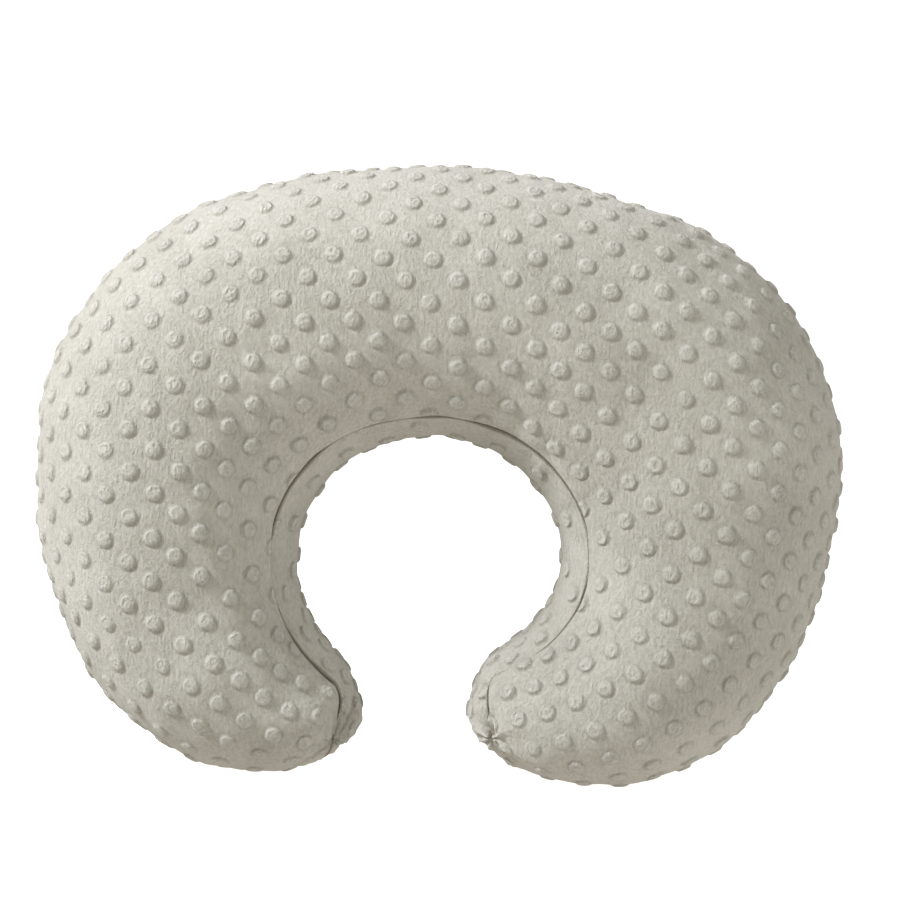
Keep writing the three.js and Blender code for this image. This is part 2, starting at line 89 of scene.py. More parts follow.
holeCentreZ = form["height"] - form["crownBand"] - form["holeRadius"]
crownTurn = form["crownTurn"] * degree
halfWide = form["width"] / 2
shoulderRadius = (halfWide - form["crownRadius"] * math.sin(crownTurn)) / (1 - math.sin(crownTurn))
crownCentreZ = form["height"] - form["crownRadius"]
widestZ = crownCentreZ + (form["crownRadius"] - shoulderRadius) * math.cos(crownTurn)
heelX = halfWide - form["heelInset"]
mouthHalf = (legs["left"]["tipReach"] + legs["right"]["tipReach"]) / 2


def outlinePoints():
    # half the outline: the crown's arc, the shoulder's arc, a side that falls as a rounded
    # quarter ellipse, and a shallow parabola for the heel
    share = np.arange(240) / 240
    power = 2 / form["sideFullness"]
    heading = share * crownTurn
    crown = np.stack([np.sin(heading), np.cos(heading)], 1) * form["crownRadius"] + [0, crownCentreZ]
    heading = crownTurn + share * (math.pi / 2 - crownTurn)
    shoulder = np.stack([np.sin(heading), np.cos(heading)], 1) * shoulderRadius
    shoulder += [halfWide - shoulderRadius, widestZ]
    turn = share * math.pi / 2
    side = np.stack([
        heelX + form["heelInset"] * np.cos(turn) ** power,
        widestZ - (widestZ + form["footPress"]) * np.sin(turn) ** power,
    ], 1)
    x = heelX * (1 - 1.5 * share)
    heel = np.stack([x, form["heelRise"] * ((x - heelX) / (heelX - mouthHalf)) ** 2 - form["footPress"]], 1)
    return np.concatenate([crown, shoulder, side, heel])


def outlineTable(side):
    # the outline as an angle from straight up and a distance, seen from the hole's centre
    across, up = (outlinePoints() - [side * form["holeCentreX"], holeCentreZ]).T
    return np.unwrap(np.arctan2(across, up)), np.hypot(across, up)


outline = {"left": outlineTable(-1), "right": outlineTable(1)}


def outlineReach(angle):
    turn = np.abs(angle)
    return np.where(angle < 0, np.interp(turn, *outline["left"]), np.interp(turn, *outline["right"]))


def ofLeg(angle, key):
    return np.where(angle < 0, legs["left"][key], legs["right"][key])


def holeReach(angle):
    # the hole is a circle that each leg swells into
    offset = (np.abs(angle) / degree - ofLeg(angle, "swellAngle")) / form["swellSpread"]
    return form["holeRadius"] - ofLeg(angle, "swell") * np.exp(-offset ** 2)


def halfThickness(angle):
    turn = np.abs(angle) / degree
    leg = (form["legThickness"] - form["crownThickness"]) * ease(form["legStart"], form["legFull"], turn)
    tip = (form["tipThickness"] - form["legThickness"]) * ease(form["tipStart"], 180, turn)
    return (form["crownThickness"] + leg + tip) / 2


for sign, leg in ((-1, legs["left"]), (1, legs["right"])):
    leg["tipAngle"] = math.pi - math.atan2(leg["tipReach"], holeCentreZ - form["tipHeight"])
    place = np.array(sign * leg["tipAngle"])
    leg["tipRadius"] = float(outlineReach(place) + holeReach(place)) / 2
    leg["capStart"] = leg["tipAngle"] - form["capLength"] / leg["tipRadius"]


def stationAngle(angle, tipTurn, depth=0.0):
    # the true angle of a station, past the body's end where it goes round the tip
    side = np.where(angle < 0, -1.0, 1.0)
    past = (form["capLength"] - depth) / ofLeg(angle, "tipRadius") * np.sin(tipTurn)
    return np.where(tipTurn > 0, side * (ofLeg(angle, "capStart") + past), angle)


def pressed(height, softness):
    # nought below the floor, and the height itself above it, with a soft bend between
    bend = (height + softness) ** 2 / (4 * softness)
    return np.where(height < -softness, 0, np.where(height > softness, height, bend))


def formPoints(angle, tipTurn, turn, depth=0.0, gathered=0.0):
    # Point of the form at a station and a turn round its section (0 at the outer edge, 90
    # degrees at the front, 180 at the hole), at a depth. Round the tip, gathered slides it so
    # that the cloth runs together in front of the tip and not at its end.
    along = np.sin(tipTurn)
    wide = np.cos(tipTurn) * np.cos(turn) + gathered * ofLeg(angle, "tipDown") * along ** 2
    thick = np.cos(tipTurn) * np.sin(turn) + gathered * ofLeg(angle, "tipForward") * along ** 2
    ball = np.sqrt(along ** 2 + wide ** 2 + thick ** 2)
    along, wide, thick = along / ball, wide / ball, thick / ball
    true = stationAngle(angle, np.arcsin(np.clip(along, 0, 1)), depth)
    outer, inner = outlineReach(true), holeReach(true)
    reach = (outer + inner) / 2 + ((outer - inner) / 2 - depth) * wide
    y = -(halfThickness(true) - depth) * thick
    floor = np.maximum(depth, 0) * form["floorPacking"]
    z = holeCentreZ + reach * np.cos(true)
    z = floor + pressed(z - floor, form["floorSoftness"])
    return np.stack(np.broadcast_arrays(form["holeCentreX"] + reach * np.sin(true), y, z), -1)


def between(first, last, count):
    # stations between two angles on the body
    return np.linspace(first, last, count)[:, None], np.zeros((count, 1))


def stations(count, endShrink):
    # evenly spaced stations from the left tip over the crown to the right tip
    capTurn = np.linspace(0, math.acos(endShrink), 600)[1:]
    left, right = legs["left"]["capStart"], legs["right"]["capStart"]
    body = np.linspace(-left, right, 3000)
    angle = np.concatenate([np.full(599, -left), body, np.full(599, right)])
    tip = np.concatenate([capTurn[::-1], np.zeros(3000), capTurn])
    track = np.full((len(angle), 1), 20 * degree)
    length = travelled(formPoints(angle[:, None], tip[:, None], track)[:, 0])
    at = np.linspace(0, length[-1], count)
    return np.interp(at, length, angle)[:, None], np.interp(at, length, tip)[:, None]


def turnFor(angle, tipTurn, turn, distance):
    # how far round the section a distance square to the length goes
    step = 0.002
    speed = (formPoints(angle, tipTurn, turn + step) - formPoints(angle, tipTurn, turn - step)) / (2 * step)
    along = unit(np.gradient(formPoints(angle, tipTurn, turn), axis=0))
    return distance / np.linalg.norm(np.cross(speed, along), axis=-1)


def resampled(track, length, at):
    # points at given lengths along a track
    return np.stack([np.interp(at, length, track[:, axis]) for axis in range(3)], 1)


def surfaceFrame(points):
    # along the pillow, across it and out of it, at every point of a grid
    along = unit(np.gradient(points, axis=0))
    across = np.gradient(points, axis=1)
    out = unit(np.cross(across, along))
    return along, np.cross(along, out), out


def linked(name, data):
    made = bpy.data.objects.new(name, data)
    bpy.context.scene.collection.objects.link(made)
    return made


def makePiece(name, node, slot, points, quads, triangles, quadMap):
    # A piece from whole arrays. quadMap holds a named map's corners for the quads.
    mesh = bpy.data.meshes.new(name)
    counts = np.concatenate([np.full(len(quads), 4), np.full(len(triangles), 3)])
    corners = np.concatenate([quads.ravel(), triangles.ravel()]).astype(np.int32)
    mesh.vertices.add(len(points))
    mesh.vertices.foreach_set("co", points.astype(np.float32).ravel())
    mesh.loops.add(len(corners))
    mesh.loops.foreach_set("vertex_index", corners)
    mesh.polygons.add(len(counts))
    starts = np.concatenate([[0], np.cumsum(counts)[:-1]]).astype(np.int32)
    mesh.polygons.foreach_set("loop_start", starts)
    mesh.polygons.foreach_set("use_smooth", np.ones(len(counts), bool))
    mesh.update(calc_edges=True)
    for mapName, uv in quadMap.items():
        layer = mesh.uv_layers.new(name=mapName)
        flat = np.concatenate([uv.reshape(-1, 2), np.full((len(triangles) * 3, 2), 0.002)])
        layer.data.foreach_set("uv", flat.astype(np.float32).ravel())
    mesh.materials.append(materials[slot])
    piece = linked(name, mesh)
    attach(piece, "pillow")
    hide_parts(node)
    return piece


def gridQuads(rows, columns, wrap):
    # quads of a grid, wound so that the faces look out when columns run across the pillow
    i, j = np.meshgrid(np.arange(rows - 1), np.arange(columns if wrap else columns - 1), indexing="ij")
    i, j = i.ravel(), j.ravel()
    right = (j + 1) % columns
    low, high = i * columns, (i + 1) * columns
    return np.stack([low + j, low + right, high + right, high + j], 1), i, j


def gridMaps(loops, i, j):
    # OFBake lays the length in two strips, one over the other; cloth holds metres
    size = loops.shape[1]
    closed = np.concatenate([loops, loops[:, :1]], 1)
    across = travelled(closed.transpose(1, 0, 2)).mean(1)
    along = travelled(loops).mean(1)
    half = len(along) // 2
    strip = (i >= half).astype(float)
    low = np.where(strip > 0, along[half], 0)
    span = np.where(strip > 0, along[-1] - along[half], along[half])
    v = across / across[-1] * 0.48 + 0.01
    first = 0.01 + 0.98 * (along[i] - low) / span
    second = 0.01 + 0.98 * (along[i + 1] - low) / span
    lower, upper = v[j] + strip * 0.5, v[j + 1] + strip * 0.5
    bake = np.stack([first, lower, first, upper, second, upper, second, lower], 1).reshape(-1, 4, 2)
    a, b, c, d = along[i], along[i + 1], across[j], across[j + 1]
    cloth = np.stack([a, c, a, d, b, d, b, c], 1).reshape(-1, 4, 2)
    return {"OFBake": bake, "cloth": cloth}


def endStrip(outerRows, innerRows, offset, size, flip):
    # triangles that close a shell's end, from its outer row to its inner row
    j = np.arange(outerRows - 1)
    share = (innerRows - 1) / (outerRows - 1)
    near = size - 1 - np.round(j * share).astype(int)
    far = size - 1 - np.round((j + 1) * share).astype(int)
    fans = np.stack([j, near, j + 1], 1)
    steps = np.stack([j + 1, near, far], 1)[near != far]
    triangles = np.concatenate([fans, steps]) + offset
    return triangles[:, ::-1] if flip else triangles


def shellPiece(name, node, slot, outer, inner):
    # A closed sheet: the outer grid, then the inner one run backwards, as one loop a station
    loops = np.concatenate([outer, inner[:, ::-1]], 1)
    count, size = loops.shape[:2]
    quads, i, j = gridQuads(count, size, True)
    ends = [
        endStrip(outer.shape[1], inner.shape[1], 0, size, False),
        endStrip(outer.shape[1], inner.shape[1], (count - 1) * size, size, True),
    ]
    points, maps = loops.reshape(-1, 3), gridMaps(loops, i, j)
    return makePiece(name, node, slot, points, quads, np.concatenate(ends), maps)


def tubes(paths, radius, sides, lean):
    # round closed threads along paths; lean is a direction that no path runs along
    count, steps = paths.shape[:2]
    tangent = unit(np.gradient(paths, axis=1))
    side = unit(np.cross(tangent, lean))
    up = np.cross(side, tangent)
    turn = np.arange(sides) * 2 * math.pi / sides
    wide = np.broadcast_to(np.asarray(radius, float), (count, steps))[:, :, None, None]
    ring = side[:, :, None] * np.cos(turn)[:, None] + up[:, :, None] * np.sin(turn)[:, None]
    points = (paths[:, :, None] + wide * ring).reshape(-1, 3)
    grid, i, k = gridQuads(steps, sides, True)
    shift = np.arange(count)[:, None, None] * steps * sides
    quads = (grid[None] + shift).reshape(-1, 4)[:, ::-1]
    fan = np.stack([np.zeros(sides - 2, int), np.arange(1, sides - 1), np.arange(2, sides)], 1)
    caps = np.concatenate([fan, fan[:, ::-1] + (steps - 1) * sides])
    triangles = (caps[None] + shift).reshape(-1, 3)
    along = travelled(paths[0])
    u, w = along / along[-1], np.arange(sides + 1) / sides
    corner = np.stack([u[i], w[k], u[i], w[k + 1], u[i + 1], w[k + 1], u[i + 1], w[k]], 1).reshape(-1, 4, 2)
    cloth = np.tile(corner[:, ::-1], (count, 1, 1))
    return points, quads, triangles, {"cloth": cloth}


def waves(points, seed, length, count=24):
    # smooth noise of about unit size: a sum of waves of one length in scattered directions
    chance = np.random.default_rng(seed)
    total = np.zeros(points.shape[:-1])
    for direction, phase, stretch in zip(
        unit(chance.normal(size=(count, points.shape[-1]))),
        chance.uniform(0, 2 * math.pi, count),
        chance.uniform(0.7, 1.4, count),
    ):
        total += np.sin(points @ direction * (2 * math.pi / (length * stretch)) + phase)
    return total / math.sqrt(count / 2)


class Signal:
    # A socket of a material's nodes. Sums and products of signals become Math nodes.
    def __init__(self, tree, socket=None):
        self.tree = tree
        self.socket = socket

    def node(self, kind, settings=None, feeds=None, out=0):
        made = self.tree.nodes.new("ShaderNode" + kind)
        for key, value in (settings or {}).items():
            setattr(made, key, value)
        for key, value in (feeds or {}).items():
            self.feed(made.inputs[key], value)
        return Signal(self.tree, made.outputs[out])

    def feed(self, socket, value):
        if isinstance(value, Signal):
            self.tree.links.new(value.socket, socket)
        elif socket.type == "RGBA" and len(value) == 3:
            socket.default_value = (*value, 1)
        else:
            socket.default_value = value

    def maths(self, operation, *others):
        return self.node("Math", {"operation": operation}, dict(enumerate((self, *others))))

    def __add__(self, other):
        return self.maths("ADD", other)

    def __mul__(self, other):
        return self.maths("MULTIPLY", other)

    __rmul__ = __mul__

    def __sub__(self, other):
        return self.maths("SUBTRACT", other)

    def __rsub__(self, other):
        return self.node("Math", {"operation": "SUBTRACT"}, {0: other, 1: self})

    def parts(self, *indices):
        return [self.node("SeparateXYZ", None, {0: self}, index) for index in indices]

    def between(self, low, high):
        # nought up to low, one from high
        feeds = {"Value": self, "From Min": low, "From Max": high}
        return self.node("MapRange", {"interpolation_type": "SMOOTHSTEP"}, feeds)

    def mixed(self, low, high):
        # a colour that goes from low to high as this signal goes from nought to one
        return self.node("Mix", {"data_type": "RGBA"}, {0: self, 6: low, 7: high}, 2)

    def noise(self, scale, detail=2, roughness=0.5, stretch=(1, 1, 1)):
        place = self.node("Mapping", None, {"Vector": self, "Scale": stretch})
        feeds = {"Vector": place, "Scale": scale, "Detail": detail, "Roughness": roughness}
        return self.node("TexNoise", None, feeds)

    def bump(self, strength, distance, below=None):
        feeds = {"Strength": strength, "Distance": distance, "Height": self}
        if below:
            feeds["Normal"] = below
        return self.node("Bump", None, feeds)


def finishedMaterial(name, build, fixed):
    # build fills in what changes over the surface; fixed is what is the same all over
    material = bpy.data.materials.new(name)
    material.use_nodes = True
    tree = material.node_tree
    shader = tree.nodes["Principled BSDF"]
    for key, value in fixed.items():
        shader.inputs[key].default_value = value
    start = Signal(tree)
    place = start.node("TexCoord", None, None, 3)
    for key, value in build(start, place).items():
        start.feed(shader.inputs[key], value)
    return material


def linear(red, green, blue):
    # a colour given in screen values from 0 to 255
    share = np.array([red, green, blue]) / 255
    return tuple(np.where(share <= 0.04045, share / 12.92, ((share + 0.055) / 1.055) ** 2.4))


plushLook = {
    "light": linear(207, 204, 193),
    "dark": linear(170, 166, 154),
    # a painted shade colour, laid along every seam where its groove lies in shadow
    "seamShadeColour": linear(158, 151, 136),
    "fibreScale": 1150,
    "clumpScale": 430,
    "napScale": 620,
    "broadScale": 14,
    "clumpTone": 0.66,  # how far each of these moves the pile from dark to light
    "broadTone": 0.34,
    # the next one lightens each dot's top: partly a painted highlight, partly a lighter pile there
    "dotTopHighlight": 0.27,
    # the next one darkens a ring round each dot's edge: painted shade where the dot's side is shaded
    "rimShadeTone": 0.3,
    "swirl": 7.5,  # radians that the swirl turns over a dot's radius
    "bump": 1.0,
    "height": 0.0025,
}


def plushNodes(start, place):
    # short pile: fine fibres, soft clumps, a vertical nap and a rough swirl on each dot
    fibres = place.noise(plushLook["fibreScale"], 3, 0.65)
    clumps = place.noise(plushLook["clumpScale"], 3, 0.65, (1, 1, 0.6))
    nap = place.noise(plushLook["napScale"], 2, 0.6, (1, 1, 0.14))
    broad = place.noise(plushLook["broadScale"], 2)
    dot = start.node("Attribute", {"attribute_name": "dotPlace"}, None, 1)
    x, y, radius = dot.parts(0, 1, 2)
    inside = 1 - radius.between(0.7, 1.05)
    swirl = (x.maths("ARCTAN2", y) + radius * plushLook["swirl"]).maths("SINE")
    # a ring round each dot's edge that takes painted shade
    dotRimShade = radius.between(0.7, 1.0) * (1 - radius.between(1.0, 1.3))
    # seamShade is painted shade along each seam, darkest at the seam line itself
    edge = start.node("Attribute", {"attribute_name": "seamShade"}, None, 2)
    shade = 0.45 * clumps + 0.35 * fibres + 0.2 * nap
    tone = shade.between(0.36, 0.64) * plushLook["clumpTone"]
    tone = tone + broad.between(0.3, 0.7) * plushLook["broadTone"]
    # dot tops get a painted highlight, partly lighter pile, and dot edges painted shade
    tone = (tone + inside * plushLook["dotTopHighlight"] - dotRimShade * plushLook["rimShadeTone"]).maths("MAXIMUM", 0)
    height = fibres * 0.35 + clumps * 0.6 + nap * 0.2 + (swirl * 0.12 + clumps * 0.7) * inside
    pile = tone.mixed(plushLook["dark"], plushLook["light"])
    return {
        # along the seams the pile turns to the painted seam shade colour
        "Base Color": edge.mixed(pile, plushLook["seamShadeColour"]),
        "Normal": height.bump(plushLook["bump"], plushLook["height"]),
    }


def threadNodes(start, place):
    # two plies laid round each other
    plies, turns = 2, 9
    lay = start.node("UVMap", {"uv_map": "cloth"})
    along, around = lay.parts(0, 1)
    ply = ((along * turns + around) * (plies * 2 * math.pi)).maths("SINE") * 0.5 + 0.5
    return {
        "Base Color": ply.mixed(linear(140, 133, 118), linear(186, 179, 164)),
        "Normal": ply.bump(0.6, 0.0001),
    }


weaves = {
    "tape": {
        "pitch": 0.0011, "height": 0.0002, "herringbone": True,
        "dark": linear(150, 143, 128), "light": linear(186, 179, 164),
    },
    "casing": {
        "pitch": 0.0012, "height": 0.00015, "herringbone": False,
        "dark": linear(214, 211, 203), "light": linear(244, 242, 236),
    },
    "label": {
        "pitch": 0.0005, "height": 0.00006, "herringbone": True,
        "dark": linear(232, 230, 224), "light": linear(250, 249, 245),
    },
}


def wovenNodes(pitch, height, herringbone, dark, light):
    # crossing yarns: one over, one under, in ribs that lean both ways where herringbone is set
    def build(start, place):
        lay = start.node("UVMap", {"uv_map": "cloth"})
        along, across = lay.parts(0, 1)
        turn, rib = 2 * math.pi / pitch, pitch * 6
        if herringbone:
            zigzag = (across * (1 / rib)).maths("PINGPONG", 1.0) * rib
            yarn = ((along + zigzag) * (turn / 2)).maths("SINE") * 0.5 + 0.5
            cross = ((along - zigzag) * turn).maths("SINE") * 0.2 + yarn * 0.8
        else:
            warp = (along * turn).maths("SINE")
            cross = warp * (across * turn).maths("SINE") * 0.5 + 0.5
        slub = place.noise(420, 2) * 0.5 + cross * 0.6
        return {
            "Base Color": slub.between(0.2, 0.9).mixed(dark, light),
            "Normal": slub.bump(0.6, height),
        }

    return build


def coilNodes(start, place):
    dust = place.noise(900, 2)
    return {
        "Base Color": dust.between(0.3, 0.7).mixed(linear(170, 164, 150), linear(190, 184, 171)),
        "Roughness": dust * 0.2 + 0.3,
        "Normal": dust.bump(0.12, 0.0001),
    }


def metalNodes(start, place):
    # plated die casting: fine scratches and a little dulling
    scratches = place.noise(700, 4, 0.7, (1, 6, 1))
    dull = place.noise(160, 2)
    return {
        "Base Color": dull.between(0.35, 0.7).mixed(linear(168, 168, 170), linear(200, 200, 201)),
        "Roughness": scratches * 0.22 + 0.2,
        "Normal": scratches.bump(0.15, 0.0001),
    }


def fibreNodes(start, place):
    strands = place.noise(210, 5, 0.7, (1, 1, 0.35))
    tufts = place.noise(45, 3)
    height = strands * 0.6 + tufts
    return {
        "Base Color": height.between(0.5, 1.1).mixed(linear(222, 221, 217), linear(250, 250, 248)),
        "Normal": height.bump(0.9, 0.002),
    }


soft = {"Roughness": 0.95, "Specular IOR Level": 0.15}
materials = {
    "plush": finishedMaterial("minkyPlush", plushNodes, {
        "Roughness": 0.95, "Specular IOR Level": 0.12, "Sheen Weight": 0.35, "Sheen Roughness": 0.45,
        "Sheen Tint": (1, 0.985, 0.95, 1),
    }),
    "thread": finishedMaterial("polyesterThread", threadNodes, {"Roughness": 0.6, "Specular IOR Level": 0.3}),
    "zipper_tape": finishedMaterial("zipperTape", wovenNodes(**weaves["tape"]), soft),
    "zipper_coil": finishedMaterial("nylonCoil", coilNodes, {"Specular IOR Level": 0.5, "Coat Weight": 0.15}),
    "zipper_metal": finishedMaterial("nickelPlate", metalNodes, {"Metallic": 1.0}),
    "casing_cloth": finishedMaterial("casingCotton", wovenNodes(**weaves["casing"]), soft),
    "fibre": finishedMaterial("polyesterFibre", fibreNodes, {
        "Roughness": 1.0, "Specular IOR Level": 0.1, "Sheen Weight": 0.4, "Sheen Roughness": 0.6,
    }),
    "label_cloth": finishedMaterial("satinLabel", wovenNodes(**weaves["label"]), {
        "Roughness": 0.45, "Specular IOR Level": 0.4,
    }),
}
print("materials made")


cover = {
    "columns": 900,  # cells along the pillow
    "cell": 0.0014,  # cell size across it
    "edgeSteps": np.array([0.5, 0.6, 0.7, 0.8, 0.9, 1.0, 1.2]) / 1000,  # cells beside a seam
    "innerRows": 24,  # rows of the hidden inner face
    "endShrink": 0.03,  # how small the section is where the tip ends
    "baseDepth": 0.0016,  # the cloth between the dots lies this far under the CAD surface
    "innerDepth": 0.0031,
    "edgeDepth": 0.0046,  # the same at the seams, under the edges that roll in
    "seamHalfGap": 0.0002,
    "frontRoll": 0.0016,  # how round the front turns into its inner seam
    "backRoll": 0.0013,  # the same at the other seams
    "foldRoll": 0.0012,  # and at the zipper
    "zipperHalfGap": 0.0063,
    "softWrinkle": (0.00066, 0.085),  # height, and the length of its waves
    "fineWrinkle": (0.00035, 0.030),
    "seamPucker": (0.0009, 0.019),
    "puckerReach": 0.013,
    "puckerStart": (0.001, 0.005),  # from the seam, where the puckers come in
    "puckerSlant": 0.35,  # how fast a pucker changes away from the seam
    "tipPucker": (0.6, 0.05),  # how much more the seams pucker near the tips, and how near
    # how far from a seam the painted seam shade reaches
    "seamShadeWidth": 0.0016,
    "floorSoftness": 0.0006,
}
pleats = {
    "height": 0.0019,
    "reach": 0.030,
    "count": 11,  # round the tip
    "wobble": 2.5,
    "ridge": 0.6,
    "tipStart": 0.008,  # they come in over this distance from the tip itself
}
dots = {
    "radius": 0.0058,
    "height": 0.0017,
    "sizeSpread": 0.12,
    "moatDepth": 0.16,  # in dot heights; the next two in dot radii
    "moatRadius": 1.2,
    "moatWidth": 0.2,
    "seamFade": (0.001, 0.006),
    "tipFade": (0.15, 0.075),  # share of the height lost, and over what distance
    "floorFade": (0.25, 0.02),
    "span": 0.45,  # how far the flat pattern reaches each way
    "step": 0.0334,  # along a row
    "rowStep": 0.0142,
    "closest": 0.0145,
    "drift": 0.0011,  # how far the stretched cloth carries the rows out of line
    "crestHeight": 0.187,  # where the flat pattern's middle line crosses its upright
    "tilt": 0.6,  # degrees by which the rows rise to the right
    "sideLag": 3,  # degrees by which that line turns less than the pillow, down the sides
    "sideTurn": (0, 80),
    "legLag": 22,  # and along the legs
    "legTurn": (95, 155),
    "frontPhase": (0.0137, 0.0023),
    "backPhase": (0.011, 0.005),
    "backTurn": 0.8,  # the back's pattern turns this share of the front's
}
zipper = {
    "end": 19.5,  # degrees either side of the crown's top
    "tapeEnd": 21.2,
    "closing": (20.5, 21.7),  # where the panels come together past the stops
    "tapeWidth": 0.013,
    "tapeDepth": 0.0033,
    "tapeThickness": 0.0006,
    "slot": 0.0022,
    "coilRadius": 0.0011,
    "coilPitch": 0.0015,
    "coilLift": 0.0003,  # the coil stands this far off its tape
    "wire": 0.00032,
    "stitchLine": 0.0084,  # from the slot's edge
    "stitchDepth": 0.0001,
    "stitchRadius": 0.0003,
}
innerSeam, outerSeam = form["innerSeam"] * degree, form["outerSeam"] * degree
seamReach = float(outlineReach(np.array(crownTurn)) - holeReach(np.array(crownTurn)))
zipperRadius = form["crownRadius"] - seamReach / 2 * (1 - math.cos(outerSeam))


def zipperAngle(heading):
    # angle about the hole's centre of a place on the zipper, from its heading on the crown
    x = zipperRadius * np.sin(heading) - form["holeCentreX"]
    z = crownCentreZ + zipperRadius * np.cos(heading) - holeCentreZ
    return np.arctan2(x, z)


def zipperShare(angle):
    # one over the zipper, nought past its ends
    near, far = (zipperAngle(heading * degree) for heading in zipper["closing"])
    return 1 - ease(near, far, np.abs(angle))


def rowShares(length):
    # rows across a panel, closer together where the edges roll in
    edge = np.concatenate([[0], np.cumsum(cover["edgeSteps"])])
    inner = np.linspace(edge[-1], length - edge[-1], int((length - 2 * edge[-1]) / cover["cell"]))
    return np.concatenate([edge[:-1], inner, (length - edge[:-1])[::-1]]) / length


def patternLine(points, true, body, crest, turnShare):
    # the flat pattern's middle line under a panel's crest, and the way across it; it turns
    # less than the pillow does, so that the rows of dots tilt along the legs
    turn = np.abs(true) / degree
    lag = dots["sideLag"] * ease(*dots["sideTurn"], turn) + dots["legLag"] * ease(*dots["legTurn"], turn)
    lag *= np.sign(true) * degree
    low = np.minimum(crest.astype(int), points.shape[1] - 2)
    share = (crest - low)[:, None]
    each = np.arange(len(true))
    line = points[each, low] * (1 - share) + points[each, low + 1] * share
    run = np.gradient(line, axis=0)
    heading = np.interp(each, each[body], np.arctan2(-run[:, 2], run[:, 0])[body])
    heading = (heading - lag) * turnShare
    steps = np.linalg.norm(run, axis=1)[:, None] * np.stack([np.cos(heading), -np.sin(heading)], 1)
    flat = np.cumsum(steps, axis=0)
    middle = np.array([np.interp(0, true, flat[:, axis]) for axis in (0, 1)])
    across = (true - lag) * turnShare
    return flat - middle + [0, dots["crestHeight"]], np.stack([np.sin(across), np.cos(across)], 1)


def dotCentres(points, true, body, arc, crest, outward, turnShare, phase):
    # places of the dots on a panel's grid, as float indices: the cloth is dotted flat, in
    # rows half a step out of line, then laid along the panel's crest
    rowCount, stepCount = int(dots["span"] / dots["rowStep"]), int(dots["span"] / dots["step"]) + 1
    rows, steps = np.arange(-rowCount, rowCount + 1), np.arange(-stepCount, stepCount + 1)
    row, step = (grid.ravel() for grid in np.meshgrid(rows, steps))
    flat = np.stack([(step + 0.5 * (row % 2)) * dots["step"], row * dots["rowStep"]], -1) + phase
    flat += dots["drift"] * np.stack([waves(flat, 61, 0.12), waves(flat, 62, 0.10)], -1)
    lean = dots["tilt"] * degree
    flat = flat @ np.array([[math.cos(lean), math.sin(lean)], [-math.sin(lean), math.cos(lean)]])

    line, normal = patternLine(points, true, body, crest, turnShare)
    ahead = np.stack([normal[:, 1], -normal[:, 0]], 1)
    gap = flat[:, None] - line
    run, reach = (gap * ahead).sum(-1), (gap * normal).sum(-1)
    crossing = run[:, :-1] * run[:, 1:] <= 0
    distance = np.where(crossing, np.abs(reach[:, :-1]), np.inf)
    at = distance.argmin(1)
    each = np.arange(len(flat))
    found = np.isfinite(distance[each, at])
    at, each = at[found], each[found]
    before, after = run[each, at], run[each, at + 1]
    share = before / (before - after)
    place = at + share
    reach = reach[each, at] * (1 - share) + reach[each, at + 1] * share

    middle = np.array([np.interp(c, np.arange(arc.shape[1]), length) for c, length in zip(crest, arc)])
    target = middle[at] + outward * reach
    length = arc[at]
    after = (length < target[:, None]).sum(1)
    inside = (after > 0) & (after < arc.shape[1])
    place, target, length, after = place[inside], target[inside], length[inside], after[inside]
    each = np.arange(len(after))
    before = length[each, after - 1]
    return place, after - 1 + (target - before) / (length[each, after] - before)


def dotPlaces(points, place, across):
    # points on a grid at float indices, less the dots that the tips would bring together
    rows, columns = points.shape[:2]
    i, j = np.clip(place.astype(int), 0, rows - 2), np.clip(across.astype(int), 0, columns - 2)
    s, t = (place - i)[:, None], (across - j)[:, None]
    centre = (points[i, j] * (1 - s) + points[i + 1, j] * s) * (1 - t)
    centre += (points[i, j + 1] * (1 - s) + points[i + 1, j + 1] * s) * t
    kept = []
    for index in np.argsort(np.abs(place - rows / 2)):
        if not kept or np.linalg.norm(centre[kept] - centre[index], axis=1).min() > dots["closest"]:
            kept.append(index)
    return i[kept], j[kept], centre[kept]


farRadius = 2.0  # what dotPlace reads where no dot is near


def dotField(points, place, across, seed):
    # for every grid point: the distance to its nearest dot in dot radii, that dot's height
    # share, and the place on the dot with the distance, which the material reads
    rows, columns = points.shape[:2]
    i0, j0, centre = dotPlaces(points, place, across)
    along, side, _ = surfaceFrame(points)
    window = np.meshgrid(np.arange(-10, 11), np.arange(-28, 29), indexing="ij")
    di, dj = (grid.ravel() for grid in window)
    i, j = i0[:, None] + di, j0[:, None] + dj
    real = (i >= 0) & (i < rows) & (j >= 0) & (j < columns)
    owner = np.broadcast_to(np.arange(len(i0))[:, None], i.shape)[real]
    i, j = i[real], j[real]
    gap = points[i, j] - centre[owner]
    distance = np.linalg.norm(gap, axis=1) / dots["radius"]
    order = np.argsort(-distance, kind="stable")  # the nearest dot is written last
    i, j, owner, gap, distance = i[order], j[order], owner[order], gap[order], distance[order]
    chance = np.random.default_rng(seed)
    size = 1 + dots["sizeSpread"] * chance.standard_normal(len(i0)).clip(-1.5, 1.5)
    radius = np.full((rows, columns), farRadius)
    share = np.zeros((rows, columns))
    local = np.zeros((rows, columns, 3))
    radius[i, j] = np.minimum(distance, farRadius)
    share[i, j] = size[owner]
    for axis, direction in enumerate((along, side)):
        local[i, j, axis] = (gap * direction[i0, j0][owner]).sum(1) / dots["radius"]
    local *= (1 - ease(1.2, 1.7, radius))[..., None]
    local[..., 2] = radius
    return radius, share, local


def dotHeight(radius, share):
    # a low button with a flat top, in a faint moat
    button = (1 - np.clip(radius, 0, 1) ** 5) ** 0.55
    moat = np.exp(-((radius - dots["moatRadius"]) / dots["moatWidth"]) ** 2)
    return dots["height"] * (button - dots["moatDepth"] * moat) * share


